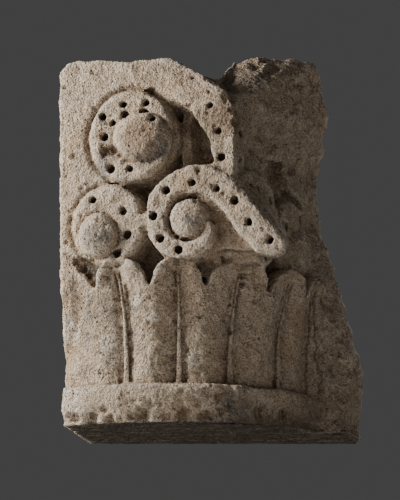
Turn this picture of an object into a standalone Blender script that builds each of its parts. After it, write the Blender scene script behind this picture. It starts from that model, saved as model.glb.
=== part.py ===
"""A fragment of a Romanesque capital in limestone, carved from one block.

The capital stood on a half-round shaft. Its lower half is a bell of upright leaves over a plain neck
ring. Its upper half is a block with two carved faces, which meet at a ridge: on each face, drilled bands
spring from the foot of the ridge and curl into scrolls with round bosses. The abacus and its corner are
broken off, and a rough tail is left on the right, where the block ran into the wall.

Metres, +Z up. The origin is on the shaft's axis, at the lower bed. The first face looks along -Y.
"""

import math

import bmesh
import bpy
from mathutils import Matrix, Vector

# Overall block: width from the left joint to the end of the tail, and depth from the ridge to the back
WIDTH = 0.2694
DEPTH = 0.180
HEIGHT = 0.330
TAIL_END_X = 0.176

# The left joint, a flat cut: where its front edge is, and how much it leans in towards the back and
# towards the foot. The raw block runs past it.
JOINT_FRONT = (TAIL_END_X - WIDTH, -0.130)
JOINT_BACK_INSET = 0.0176
JOINT_FOOT_INSET = 0.0058
RAW_LENGTH = 0.050
CORE_BOTTOM = 0.124
CORE_TOP = 0.321

# The height that the block's own figures go up to. They stretch with HEIGHT.
CARVED_TOP = 0.330

# Neck ring and bell
NECK_R = 0.1455
RING_R = 0.1490
LEDGE_Z = 0.034
BELL_R = 0.1390
BELL_WALL = 0.017
LEAF_FLARE = 0.018

# Leaves: the angles of the notches between them and of their ribs, at the foot and at the top, in
# degrees. The first leaf is cut by the left joint, and its rib would stand past it.
NOTCH_FOOT_ANGLES = (-64.0, -23.4, -4.2, 14.7, 34.8, 53.8, 72.0)
NOTCH_TOP_ANGLES = (-66.0, -24.0, -5.7, 12.7, 39.5, 57.0, 72.0)
RIB_FOOT_ANGLES = (-45.5, -13.6, 5.3, 24.0, 45.5, 62.5)
RIB_TOP_ANGLES = (-47.5, -16.0, 4.4, 26.5, 48.5, 65.0)
NOTCH_Z = 0.113
LEAF_TIP_Z = 0.138
LEAF_VALLEY = 0.0080
RIB_FOOT_HALF_WIDTH = 0.0036
RIB_TOP_HALF_WIDTH = 0.0013
RIB_TOP_SHARE = 0.86
RIB_HEIGHT = 0.0035
GROOVE_WIDTH = 0.0018
GROOVE_DEPTH = 0.0034
LEAF_ROWS = 9

# The two carved faces, which meet at the ridge: how far each looks round from the front, in degrees
RIDGE = (0.060, -0.172)
BACK_Y = RIDGE[1] + DEPTH
FACE_TURNS = {1: -16.0, 2: 62.0}
SECOND_FACE_LENGTH = 0.176
RELIEF = 0.030
UNDERCUT_LEAN = 0.40

# Scrolls and bosses on a face: distance from the ridge, height, radius, and width over height
UPPER_SCROLL = (0.0926, 0.2450, 0.0416, 0.945)
UPPER_BOSS = (0.0832, 0.2436, 0.0215, 1.20)
OUTER_SCROLL = (0.1125, 0.1690, 0.0360, 0.945)
OUTER_BOSS = (0.1211, 0.1596, 0.0196, 0.94)
INNER_SCROLL = (0.0398, 0.1713, 0.0302, 1.0)
INNER_BOSS = (0.0410, 0.1700, 0.0176, 0.96)
SCROLL_WALL_FLARE = 0.003
UPPER_BOSS_RISE = 0.0125
BOSS_RISE = 0.0105

# Drilled holes
HOLE_R = 0.0036
HOLE_DEPTH = 0.010
HOLE_SIDES = 10

# Drilled holes about a scroll's or a boss's middle: distance, and angle in degrees from the far side
UPPER_HOLES = ((0.0317, 37), (0.0287, 77), (0.0310, 117), (0.0241, 122), (0.0203, 75), (0.0206, 38),
               (0.0238, 1), (0.0245, 151), (0.0332, -58), (0.0290, -89))
OUTER_HOLES = ((0.0320, 81), (0.0298, 138), (0.0255, 180), (0.0235, 224))
INNER_HOLES = ((0.0323, 137), (0.0288, 94), (0.0313, 49), (0.0316, 3), (0.0309, -35), (0.0296, -71))
STEM_HOLES = ((0.023, 0.2675), (0.016, 0.2445), (0.0131, 0.2215))
LOWER_STEM_HOLES = ((0.0007, 0.1821), (-0.0121, 0.1634), (-0.0300, 0.1462))

# Prow at the foot of the ridge, where the lower stems of the two faces meet
RIDGE_FOOT_Z = 0.203
TIP = (0.1030, -0.183, 0.1430)
PROW_BACK = 0.066

# Rough stone: the mass on the second face, and the tail on the right
MASS_OUT = -0.003
MASS_FOOT_Z = 0.199
FIELD_OUT = -0.013
TAIL_TOP_Z = 0.205
TAIL_FRONT_Y = -0.064

STONE_COLOUR = (0.56, 0.47, 0.38, 1.0)
STONE_ROUGHNESS = 0.92

WELD = 2e-5


def clear_scene():
    """Remove the scene's objects."""
    for obj in list(bpy.data.objects):
        bpy.data.objects.remove(obj, do_unlink=True)


def block_matrix():
    """Stretches the block's figures upwards from its foot, so that they reach its height."""
    stretch = (HEIGHT - CORE_BOTTOM) / (CARVED_TOP - CORE_BOTTOM)
    matrix = Matrix.Diagonal((1.0, 1.0, stretch, 1.0))
    matrix.translation = (0, 0, CORE_BOTTOM * (1 - stretch))
    return matrix


def face_matrix(face):
    """Face coordinates (distance from the ridge, out of the face, height) to the block's frame."""
    turn = math.radians(FACE_TURNS[face])
    side = -1 if face == 1 else 1
    matrix = Matrix.Identity(4)
    matrix.col[0][:3] = (side * math.cos(turn), side * math.sin(turn), 0)
    matrix.col[1][:3] = (math.sin(turn), -math.cos(turn), 0)
    matrix.translation = (*RIDGE, 0)
    return block_matrix() @ matrix


def object_of(name, bm, matrix=None):
    """An object of this bmesh, moved by the matrix, with its faces pointing out."""
    if matrix is not None:
        bmesh.ops.transform(bm, matrix=matrix, verts=bm.verts)
    bmesh.ops.recalc_face_normals(bm, faces=bm.faces)
    mesh = bpy.data.meshes.new(name)
    bm.to_mesh(mesh)
    bm.free()
    obj = bpy.data.objects.new(name, mesh)
    bpy.context.scene.collection.objects.link(obj)
    return obj


def combine(base, tool, operation):
    """Join the tool to the base, or cut it away, and remove the tool."""
    modifier = base.modifiers.new(tool.name, "BOOLEAN")
    modifier.operation = operation
    modifier.object = tool
    depsgraph = bpy.context.evaluated_depsgraph_get()
    bm = bmesh.new()
    bm.from_mesh(base.evaluated_get(depsgraph).to_mesh())
    bmesh.ops.remove_doubles(bm, verts=bm.verts, dist=WELD)
    bmesh.ops.dissolve_degenerate(bm, edges=bm.edges, dist=WELD)
    base.modifiers.clear()
    bm.to_mesh(base.data)
    bm.free()
    bpy.data.objects.remove(tool, do_unlink=True)


def turned(name, profile, steps, matrix=None):
    """A solid of revolution about +Z. The profile is (radius, z), from its top to its foot, both on the
    axis."""
    mesh = bpy.data.meshes.new(name)
    mesh.from_pydata([(r, 0, z) for r, z in profile], [(i, i + 1) for i in range(len(profile) - 1)], [])
    obj = bpy.data.objects.new(name, mesh)
    bpy.context.scene.collection.objects.link(obj)
    screw = obj.modifiers.new("turn", "SCREW")
    screw.steps = screw.render_steps = steps
    screw.use_merge_vertices = True
    screw.merge_threshold = 1e-5
    depsgraph = bpy.context.evaluated_depsgraph_get()
    bm = bmesh.new()
    bm.from_mesh(bpy.data.meshes.new_from_object(obj.evaluated_get(depsgraph)))
    bpy.data.objects.remove(obj, do_unlink=True)
    bmesh.ops.remove_doubles(bm, verts=bm.verts, dist=1e-6)
    return object_of(name, bm, matrix)


def prism(name, outline, low, high, matrix=None):
    """A flat outline (x, z) with thickness along y, from low to high."""
    curve = bpy.data.curves.new(name, "CURVE")
    curve.dimensions = "2D"
    curve.fill_mode = "BOTH"
    curve.extrude = (high - low) / 2
    spline = curve.splines.new("POLY")
    spline.points.add(len(outline) - 1)
    for point, (x, z) in zip(spline.points, outline):
        point.co = (x, z, 0, 1)
    spline.use_cyclic_u = True
    flat = bpy.data.objects.new(name, curve)
    bpy.context.scene.collection.objects.link(flat)
    bm = bmesh.new()
    shown = flat.evaluated_get(bpy.context.evaluated_depsgraph_get())
    bm.from_mesh(bpy.data.meshes.new_from_object(shown))
    bpy.data.objects.remove(flat, do_unlink=True)
    bmesh.ops.remove_doubles(bm, verts=bm.verts, dist=1e-6)
    stand = Matrix.Translation((0, (low + high) / 2, 0)) @ Matrix.Rotation(math.radians(90), 4, "X")
    return object_of(name, bm, (matrix or Matrix.Identity(4)) @ stand)


def hull(name, points, matrix=None):
    """The convex solid round these points."""
    bm = bmesh.new()
    for point in points:
        bm.verts.new(point)
    made = bmesh.ops.convex_hull(bm, input=bm.verts)
    bmesh.ops.delete(bm, geom=list(set(made["geom_interior"] + made["geom_unused"])), context="VERTS")
    return object_of(name, bm, matrix)


def ribbon(name, stations, flare, matrix=None):
    """A raised band. Each station is (centre, width, depth): the band's face is there, and its walls
    slope out by flare down to the depth below it."""
    bm = bmesh.new()
    rings = []
    last = len(stations) - 1
    for i, (centre, width, depth) in enumerate(stations):
        ahead, behind = stations[min(i + 1, last)][0], stations[max(i - 1, 0)][0]
        side = (Vector(ahead) - Vector(behind)).cross(Vector((0, 1, 0))).normalized()
        down = Vector((0, -1, 0))
        half, chamfer = width / 2, min(0.0025, width / 5)
        section = ((-half - flare, depth), (-half, chamfer), (-half + chamfer, 0.0),
                   (half - chamfer, 0.0), (half, chamfer), (half + flare, depth))
        rings.append([bm.verts.new(Vector(centre) + side * s + down * d) for s, d in section])
    for first, second in zip(rings, rings[1:]):
        for i in range(len(first)):
            j = (i + 1) % len(first)
            bm.faces.new((first[i], first[j], second[j], second[i]))
    bm.faces.new(rings[0])
    bm.faces.new(list(reversed(rings[-1])))
    bmesh.ops.triangulate(bm, faces=bm.faces, quad_method="FIXED", ngon_method="EAR_CLIP")
    return object_of(name, bm, matrix)


def scroll_disc(name, disc, rise, sink, steps, matrix):
    """A round scroll: a flat face with a chamfered rim and a sloping wall, sunk into the ground behind."""
    along, height, radius, squash = disc
    profile = ((0, rise), (radius - 0.004, rise), (radius, rise - 0.004),
               (radius + SCROLL_WALL_FLARE, -RELIEF - sink), (0, -RELIEF - sink))
    place = matrix @ on_face(along, height) @ Matrix.Diagonal((squash, 1.0, 1.0, 1.0))
    return turned(name, profile, steps, place)


def boss(name, disc, base, rise, steps, matrix, groove=0.0):
    """A domed boss that stands on a scroll, its foot sunk below the scroll's face."""
    along, height, radius, squash = disc
    dome = [(radius * math.sin(a), base + rise * math.cos(a))
            for a in (math.radians(d) for d in (0, 22, 42, 60, 76, 90))]
    place = matrix @ on_face(along, height) @ Matrix.Diagonal((squash, 1.0, 1.0, 1.0))
    return turned(name, [*dome, (radius, base - 0.012 - groove), (0, base - 0.012 - groove)], steps, place)


def on_face(along, height):
    """Turns a shape made about +Z so that it stands on a face at this place."""
    return Matrix.Translation((along, 0, height)) @ Matrix.Rotation(math.radians(-90), 4, "X")


# The leaves

def leaf_columns():
    """The columns of one leaf: (share across the leaf, step from the rib's middle line or None). Steps 1
    to 4 are the rib's crest, its edge, the groove beside it and the leaf beyond."""
    before = [(t, None) for t in (0.0, 0.07, 0.16, 0.28)]
    rib = [(0.5, step) for step in (-4, -3, -2, -1, 1, 2, 3, 4)]
    after = [(t, None) for t in (0.72, 0.84, 0.93)]
    return before + rib + after


def rib_offset(step, rise):
    """How far a rib's column stands from its middle line. A rib is wider at its foot than at its top."""
    half = RIB_FOOT_HALF_WIDTH + (RIB_TOP_HALF_WIDTH - RIB_FOOT_HALF_WIDTH) * rise
    reach = (half / 2, half, half + GROOVE_WIDTH, half + 2 * GROOVE_WIDTH)[abs(step) - 1]
    return math.copysign(reach, step)


def leaf_angle(leaf, share, step, rise):
    """The angle of a leaf's column, and how far across the leaf it is, from -1 to 1. Rise is 0 at the
    foot and 1 at the top."""
    bend = rise ** 3
    low, high = (NOTCH_FOOT_ANGLES[i] + (NOTCH_TOP_ANGLES[i] - NOTCH_FOOT_ANGLES[i]) * bend
                 for i in (leaf, leaf + 1))
    rib = RIB_FOOT_ANGLES[leaf] + (RIB_TOP_ANGLES[leaf] - RIB_FOOT_ANGLES[leaf]) * bend
    if step is not None:
        turn = math.degrees(rib_offset(step, rise) / BELL_R)
        return rib + turn, turn / ((high - low) / 2)
    if share < 0.5:
        return low + (rib - low) * share * 2, share * 2 - 1
    return rib + (high - rib) * (share * 2 - 1), share * 2 - 1


def leaf_radius(rise, across, step):
    """The bell's radius: rise is 0 at the ledge and 1 at the leaf's top, across is -1 to 1 over the leaf."""
    flare = LEAF_FLARE * (0.15 * rise + 0.85 * rise ** 3)
    valley = LEAF_VALLEY * (1 - abs(across)) ** 1.8 * (0.75 + 0.25 * rise)
    radius = BELL_R + flare - valley
    if step is None or abs(step) == 4 or rise > RIB_TOP_SHARE:
        return radius
    return radius + (RIB_HEIGHT, 0.8 * RIB_HEIGHT, -GROOVE_DEPTH)[abs(step) - 1]


def leaves(name):
    """The ring of leaves as one skirt: its outer side has each leaf's valley and rib, and its upper edge
    runs over the round tips and down into the notches."""
    bm = bmesh.new()
    outer, crown, inner, foot = [], [], [], []
    count = len(RIB_FOOT_ANGLES)
    columns = [(i, t, step) for i in range(count) for t, step in leaf_columns()] + [(count - 1, 1.0, None)]
    for leaf, share, step in columns:
        strip = []
        arch = max(0.0, 1 - abs(leaf_angle(leaf, share, step, 1.0)[1]) ** 2.4) ** 0.55
        arch_top = NOTCH_Z + (LEAF_TIP_Z - NOTCH_Z) * arch
        for row in range(LEAF_ROWS):
            z = LEDGE_Z - 0.003 + (arch_top - LEDGE_Z + 0.003) * row / (LEAF_ROWS - 1)
            height = max(0.0, (z - LEDGE_Z) / (LEAF_TIP_Z - LEDGE_Z))
            angle, across = leaf_angle(leaf, share, step, height)
            radius = leaf_radius(height, across, step)
            a = math.radians(angle)
            strip.append(bm.verts.new((radius * math.sin(a), -radius * math.cos(a), z)))
        outer.append(strip)
        top = strip[-1].co
        a = math.atan2(top.x, -top.y)
        crown_r, core_r = top.xy.length - 0.006, BELL_R - BELL_WALL - 0.008
        crown.append(bm.verts.new((crown_r * math.sin(a), -crown_r * math.cos(a), top.z + 0.0022)))
        inner.append(bm.verts.new((core_r * math.sin(a), -core_r * math.cos(a), top.z + 0.001)))
        foot.append(bm.verts.new((core_r * math.sin(a), -core_r * math.cos(a), strip[0].co.z)))
    rings = [[*strip, crown[i], inner[i], foot[i]] for i, strip in enumerate(outer)]
    for first, second in zip(rings, rings[1:]):
        for i in range(len(first)):
            j = (i + 1) % len(first)
            bm.faces.new((first[i], second[i], second[j], first[j]))
    bm.faces.new(rings[0])
    bm.faces.new(list(reversed(rings[-1])))
    bmesh.ops.triangulate(bm, faces=bm.faces, quad_method="FIXED", ngon_method="EAR_CLIP")
    return object_of(name, bm)


def neck(name):
    """The neck ring under the bell, with the bell's core above it."""
    core_r = BELL_R - BELL_WALL
    profile = ((0, CORE_BOTTOM + 0.030), (core_r, CORE_BOTTOM + 0.030), (core_r, LEDGE_Z + 0.004),
               (BELL_R + 0.001, LEDGE_Z - 0.0005), (RING_R - 0.003, LEDGE_Z - 0.001),
               (RING_R, LEDGE_Z - 0.006), (RING_R, 0.014), (NECK_R + 0.001, 0.004), (NECK_R - 0.001, 0.0),
               (0, 0.0))
    return turned(name, profile, 88)


# The upper block

def face_point(face, along, out=0.0):
    """(x, y) in plan of a point of a carved face."""
    return (face_matrix(face) @ Vector((along, out, 0))).xy


def raw_end():
    """How far the raw block runs along the first face, past the left joint."""
    return (RIDGE[0] - JOINT_FRONT[0]) / math.cos(math.radians(FACE_TURNS[1])) + RAW_LENGTH


def core(name):
    """The block behind the carving, down to the ground between the scrolls."""
    middle = math.radians(sum(FACE_TURNS.values()) / 2)
    inset = 0.86 * RELIEF / math.cos(math.radians(FACE_TURNS[2] - FACE_TURNS[1]) / 2)
    ridge = (RIDGE[0] - inset * math.sin(middle), RIDGE[1] + inset * math.cos(middle))
    left, end = face_point(1, raw_end(), -RELIEF), face_point(2, SECOND_FACE_LENGTH, -RELIEF)
    plan = (tuple(left), ridge, tuple(end), (end[0] - 0.004, BACK_Y + 0.02), (left[0], BACK_Y + 0.02))
    upright = Matrix.Rotation(math.radians(90), 4, "X")
    return prism(name, [(x, -y) for x, y in plan], CORE_BOTTOM, CORE_TOP, block_matrix() @ upright)


def stem_outline():
    """The outline of the upper stem beside the ridge: its outer side going up, then its inner side coming
    down. Face coordinates."""
    outer = [(-0.001, 0.193), (-0.001, 0.211), (0.000, 0.236), (0.001, 0.262), (0.0095, 0.2805)]
    inner = [(0.0620, 0.2830), (0.0520, 0.2740), (0.0435, 0.2645), (0.0355, 0.2535), (0.0268, 0.2390),
             (0.0230, 0.2265), (0.0204, 0.2175), (0.0178, 0.2086), (0.0170, 0.194)]
    return outer, inner


def margin_outline(face):
    """The outline of what stands at face level round the scrolls. The first face keeps its left margin,
    its top and its upper stem, and the second its upper stem alone. Face coordinates."""
    outer, inner = stem_outline()
    if face == 2:
        return [*outer[:3], (0.0012, 0.2575), (0.012, 0.279), (0.031, 0.286), *inner[1:]]
    top = [(0.0203, 0.2880), (0.0344, 0.2985), (0.0504, 0.3078), (0.060, 0.3125), (0.087, 0.314),
           (0.095, 0.312), (0.121, 0.317), (0.148, 0.317), (0.158, 0.312)]
    margin = [(raw_end(), 0.297), (raw_end(), 0.112), (0.147, 0.112), (0.137, 0.143)]
    scroll_side = [(0.130, 0.190), (0.116, 0.202), (0.108, 0.209), (0.108, 0.215), (0.116, 0.267),
                   (0.103, 0.280), (0.090, 0.2855), (0.072, 0.2872)]
    return [*outer, *top, *margin, *scroll_side, *inner]


def undercut(name):
    """What is cut from under the upper stem of the first face, on its inner side, so that the ground
    behind it lies in shade."""
    side = stem_outline()[1][2:7]
    outline = [*side, (side[-1][0] + 0.028, side[-1][1] + 0.002), (side[0][0] + 0.008, side[0][1] - 0.006)]
    lean = Matrix.Identity(4)
    lean[0][1] = UNDERCUT_LEAN
    return prism(name, outline, -RELIEF + 0.0013, 0.0007, face_matrix(1) @ lean)


def cove(name):
    """The slope over the upper scroll, from the face down to the sunk ground."""
    points = ((0.0445, -0.0035, 0.2705), (0.0640, -0.0035, 0.2875), (0.0800, -0.0035, 0.2905),
              (0.0480, -0.0290, 0.2610), (0.0600, -0.0290, 0.2665), (0.0800, -0.0250, 0.2765),
              (0.0480, -0.0340, 0.2900), (0.0800, -0.0340, 0.2915))
    return hull(name, points, face_matrix(1))


def margin_foot(name):
    """The foot of the left margin, which dies away into the first leaf, and the shallow ground beside it."""
    points = [(along, out, z) for along in (0.147, raw_end()) for out, z in
              ((-0.0025, 0.125), (-0.0025, 0.116), (-0.024, 0.050), (-0.050, 0.125), (-0.050, 0.050))]
    points += [(0.122, out, z)
               for out, z in ((-0.011, 0.155), (-0.012, 0.110), (-0.045, 0.155), (-0.045, 0.100))]
    return hull(name, points, face_matrix(1))


def inner_band_stations(face):
    """The band that springs from the foot of the ridge, runs over the inner boss and curls in under it.
    On the first face it reaches to the tip."""
    along, height = INNER_SCROLL[:2]
    turns = ((-163, 0.019, 0.004), (-140, 0.0215, 0.009), (-120, 0.0255, 0.013), (-100, 0.0285, 0.015),
             (-75, 0.0298, 0.016), (-50, 0.0305, 0.018), (-22, 0.0308, 0.019), (5, 0.0308, 0.020),
             (32, 0.0310, 0.021), (60, 0.0315, 0.023), (90, 0.0320, 0.0255), (115, 0.0335, 0.0265))
    between = [tuple((a + b) / 2 for a, b in zip(first, second)) for first, second in zip(turns, turns[1:])]
    path = []
    for degrees, distance, width in sorted([*turns, *between]):
        a = math.radians(degrees)
        path.append(((along + distance * math.cos(a), 0.0, height + distance * math.sin(a)), width))
    stem = [((0.0121, 0.000, 0.1934), 0.0265), ((0.0013, 0.000, 0.1828), 0.0265)]
    if face == 1:
        stem += [((-0.0131, 0.001, 0.1618), 0.0280), ((-0.0262, 0.002, 0.1476), 0.0262),
                 ((-0.0370, 0.002, 0.1412), 0.0195), ((-0.0440, 0.001, 0.1392), 0.0100)]
    return [((x, y + 0.0035, z), width, RELIEF + 0.0081 if x > -0.01 else (0.052 + x) * 0.75)
            for (x, y, z), width in [*path, *stem]]


def holes(name, face):
    """The drilled holes of one face, as one cutter. The second face has lost its upper scroll and the
    top of its stem."""
    rings = [(OUTER_BOSS, OUTER_HOLES), (INNER_SCROLL, INNER_HOLES)]
    spots = list(STEM_HOLES[1:])
    if face == 1:
        rings.append((UPPER_SCROLL, UPPER_HOLES))
        spots += [STEM_HOLES[0], *LOWER_STEM_HOLES]
    for centre, ring in rings:
        for distance, degrees in ring:
            a = math.radians(degrees)
            spots.append((centre[0] + distance * math.cos(a), centre[1] + distance * math.sin(a)))
    bm = bmesh.new()
    for along, height in spots:
        turn = on_face(along, height) @ Matrix.Translation((0, 0, 0.012 - HOLE_DEPTH / 2))
        bmesh.ops.create_cone(bm, cap_ends=True, segments=HOLE_SIDES, radius1=HOLE_R * 0.8, radius2=HOLE_R,
                              depth=HOLE_DEPTH + 0.024, matrix=turn)
    return object_of(name, bm, face_matrix(face))


def prow(name):
    """The wedge behind the tip, where the lower stems of the two faces meet."""
    ridge_top = (*RIDGE, RIDGE_FOOT_Z)
    left_top = (*face_point(1, 0.008, -0.030), RIDGE_FOOT_Z - 0.014)
    left_foot = (*face_point(1, -0.016, -0.034), TIP[2] + 0.016)
    right = [face_point(2, along, out) for along, out in ((0.034, 0.0), (0.056, 0.006), (PROW_BACK, 0.010))]
    right_top = [(*right[0], RIDGE_FOOT_Z + 0.002), (*right[1], RIDGE_FOOT_Z - 0.018),
                 (*right[2], TIP[2] + 0.034)]
    right_foot = [(*right[2], TIP[2] + 0.012), (*face_point(2, 0.056, -0.020), TIP[2] + 0.002)]
    inside = [(*face_point(2, along, -0.045), z)
              for along in (0.010, 0.060) for z in (TIP[2] + 0.004, RIDGE_FOOT_Z)]
    tip_foot = (TIP[0] - 0.002, TIP[1] + 0.006, TIP[2] - 0.005)
    return hull(name, [ridge_top, left_top, left_foot, TIP, tip_foot, *right_top, *right_foot, *inside],
                block_matrix())


def field(name):
    """The ground of the second face, between its upper stem and the rough stone."""
    outline = ((0.006, 0.197), (0.006, 0.276), (0.120, 0.276), (0.150, 0.197))
    return prism(name, outline, -0.055, FIELD_OUT, face_matrix(2))


def rough_mass(name):
    """The rough stone above and beside the second face's carving, up to the broken top."""
    end = SECOND_FACE_LENGTH
    outline = ((0.099, 0.227), (0.101, 0.275), (end, 0.275), (end - 0.004, 0.236), (end - 0.006, MASS_FOOT_Z),
               (0.146, MASS_FOOT_Z + 0.0035), (0.118, MASS_FOOT_Z + 0.016))
    return prism(name, outline, -0.060, MASS_OUT, face_matrix(2))


def lump(name):
    """The rough boulder of broken stone over the second face, up to the highest point."""
    crest = ((0.047, -0.128, 0.293), (0.0575, -0.116, 0.316), (0.072, -0.108, 0.326),
             (0.095, -0.103, CARVED_TOP), (0.1175, -0.098, CARVED_TOP), (0.1290, -0.090, CARVED_TOP - 0.001),
             (0.1375, -0.077, 0.322), (0.142, -0.065, 0.310), (0.145, -0.055, 0.2855), (0.143, -0.050, 0.271),
             (0.139, -0.040, 0.261))
    belly = [(0.064, -0.159, 0.272), (0.055, -0.146, 0.278), (0.086, -0.122, 0.285), (0.094, -0.112, 0.268),
             (0.120, -0.085, 0.264), (0.132, -0.050, 0.256), (0.084, -0.134, 0.270)]
    chin = [(*face_point(2, along, out), z) for along, out, z in
            ((0.028, -0.014, 0.247), (0.060, -0.014, 0.239), (0.100, -0.006, 0.236), (0.150, -0.004, 0.234))]
    back = [(x, BACK_Y + 0.03, z) for x in (0.055, 0.140) for z in (0.245, CARVED_TOP)]
    inside = [(0.050, -0.080, 0.262), (0.058, -0.060, 0.308)]
    return hull(name, [*crest, *belly, *chin, *back, *inside], block_matrix())


def tail(name):
    """The rough tail on the right, where the block ran into the wall."""
    right = ((0.039, TAIL_TOP_Z), (0.028, 0.166), (0.015, 0.121), (0.001, 0.071), (0.0, 0.045), (0.004, 0.0))
    points = []
    for inset, z in right:
        x = TAIL_END_X - inset
        front = TAIL_FRONT_Y * (1 - 0.45 * z / TAIL_TOP_Z)
        points += [(x, -0.020, z), (x, BACK_Y + 0.02, z), (x - 0.014, front, z)]
    points += [(0.085, y, z) for y in (-0.072, BACK_Y + 0.02) for z in (0.0, TAIL_TOP_Z)]
    return hull(name, points)


def top_notch(name):
    """The hollow that the broken corner leaves in the top, from front to back."""
    sections = ((-0.220, 0.294), (-0.120, 0.299), (0.030, 0.318))
    points = []
    for y, z in sections:
        points += [(0.042, y, z), (0.047, y, z + 0.001), (-0.030, y, 0.345), (0.072, y, 0.345)]
    return hull(name, points, block_matrix())


def corner_break(name):
    """What is broken off the top left corner."""
    section = ((-RAW_LENGTH, 0.282), (-RAW_LENGTH, 0.400), (0.0334, 0.400), (0.0164, 0.328), (0.0054, 0.311))
    points = [(JOINT_FRONT[0] + inset, y, z) for y in (-0.3, 0.1) for inset, z in section]
    return hull(name, points, block_matrix())


def outer_cuts():
    """What is cut off flat: the back, and the joint on the left."""
    big = 0.5
    back = hull("back_cut", [(x, y, z) for x in (-big, big) for y in (BACK_Y, big) for z in (-0.1, big)])
    slope = -JOINT_BACK_INSET / JOINT_FRONT[1]
    lean = JOINT_FOOT_INSET / HEIGHT
    points = []
    for y in (-0.4, 0.1):
        for z in (-0.1, big):
            x = JOINT_FRONT[0] + JOINT_BACK_INSET + slope * y + lean * (HEIGHT - z)
            points += [(x, y, z), (x - big, y, z)]
    return back, hull("left_cut", points)


def carved_face(face):
    """The carving of one face, as a list of solids to join to the block."""
    matrix = face_matrix(face)
    tag = f"face{face}_"
    made = [prism(tag + "margin", margin_outline(face), -RELIEF - 0.012, -0.002, matrix)]
    if face == 1:
        made.append(margin_foot(tag + "margin_foot"))
        made.append(cove(tag + "cove"))
        made.append(scroll_disc(tag + "upper_scroll", UPPER_SCROLL, 0.002, 0.0053, 36, matrix))
        made.append(boss(tag + "upper_boss", UPPER_BOSS, 0.0012, UPPER_BOSS_RISE, 24, matrix))
    made.append(scroll_disc(tag + "outer_scroll", OUTER_SCROLL, 0.001, 0.0067, 32, matrix))
    made.append(boss(tag + "outer_boss", OUTER_BOSS, 0.0003, BOSS_RISE, 22, matrix))
    made.append(ribbon(tag + "inner_band", inner_band_stations(face), 0.0015, matrix))
    made.append(boss(tag + "inner_boss", INNER_BOSS, -0.001, BOSS_RISE, 22, matrix, groove=0.020))
    return made


def triangulate(obj):
    """Split the faces of the finished solid into triangles."""
    bm = bmesh.new()
    bm.from_mesh(obj.data)
    bmesh.ops.triangulate(bm, faces=bm.faces)
    bm.to_mesh(obj.data)
    bm.free()


def main():
    """Joins the block, cuts it to its outline and gives it its stone."""
    clear_scene()
    capital = core("capital")
    for solid in (neck("neck"), leaves("leaves"), tail("tail"), *carved_face(1), *carved_face(2),
                  field("field"), rough_mass("rough_mass"), lump("lump"), prow("prow")):
        combine(capital, solid, "UNION")
    for cutter in (undercut("undercut"), holes("holes_1", 1), holes("holes_2", 2), top_notch("top_notch"),
                   corner_break("corner_break"), *outer_cuts()):
        combine(capital, cutter, "DIFFERENCE")
    triangulate(capital)
    group = bpy.data.collections.new("romanesque_capital")
    bpy.context.scene.collection.children.link(group)
    group.objects.link(capital)
    bpy.context.scene.collection.objects.unlink(capital)
    material = bpy.data.materials.new("limestone")
    material.use_nodes = True
    shader = material.node_tree.nodes["Principled BSDF"]
    shader.inputs["Base Color"].default_value = STONE_COLOUR
    shader.inputs["Roughness"].default_value = STONE_ROUGHNESS
    capital.data.materials.clear()
    capital.data.materials.append(material)


main()
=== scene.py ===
"""The looks of a broken half capital in carved limestone, seen from a little below.

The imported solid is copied, given an even skin, worn, chipped and pitted as real mesh, and
dressed in weathered limestone. Lengths are in metres in the part's own frame, with the
lower bed at z = 0 and the carved front towards -Y.
"""

import logging
import math
from dataclasses import dataclass, field
from enum import Enum
from itertools import product
from typing import Any, Mapping, Sequence, Union

import bmesh
import bpy
import numpy as np
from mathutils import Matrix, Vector, geometry
from mathutils.bvhtree import BVHTree

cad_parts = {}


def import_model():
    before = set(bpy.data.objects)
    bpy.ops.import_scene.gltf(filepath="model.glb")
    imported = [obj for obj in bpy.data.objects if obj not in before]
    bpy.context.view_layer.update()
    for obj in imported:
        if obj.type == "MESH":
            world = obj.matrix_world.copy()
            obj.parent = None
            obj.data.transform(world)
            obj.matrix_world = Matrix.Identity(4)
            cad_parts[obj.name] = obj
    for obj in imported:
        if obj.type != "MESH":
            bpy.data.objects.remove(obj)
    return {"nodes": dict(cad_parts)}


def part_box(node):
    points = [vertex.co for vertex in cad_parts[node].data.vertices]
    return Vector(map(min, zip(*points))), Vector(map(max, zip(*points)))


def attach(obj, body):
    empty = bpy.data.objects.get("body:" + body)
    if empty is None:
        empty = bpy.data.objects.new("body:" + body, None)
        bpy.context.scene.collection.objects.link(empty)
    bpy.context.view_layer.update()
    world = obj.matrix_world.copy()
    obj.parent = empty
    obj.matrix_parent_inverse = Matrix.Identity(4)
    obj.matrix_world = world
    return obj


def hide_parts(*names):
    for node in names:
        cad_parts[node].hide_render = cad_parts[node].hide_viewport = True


log = logging.getLogger("capital")

Colour = tuple[float, float, float]
Span = tuple[float, float]
Number = Union[float, "Field"]


class Zone(Enum):
    """Which way a patch of the stone has weathered, or where shade is painted on it."""

    LICHEN = "lichen"
    STAIN_AND_SHADE = "stain_and_shade"
    CHALK = "chalk"
    SOOT_AND_SHADE = "soot_and_shade"


# Numbers over the stone


def ramp(values: np.ndarray, start: float, end: float) -> np.ndarray:
    """Smooth step from 0 at start to 1 at end.

    Args:
        values: The numbers to read.
        start: Where the step is still 0.
        end: Where the step has reached 1.

    Returns:
        The step's height for each number.
    """
    part = np.clip((values - start) / (end - start), 0.0, 1.0)
    return part * part * (3.0 - 2.0 * part)


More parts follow.
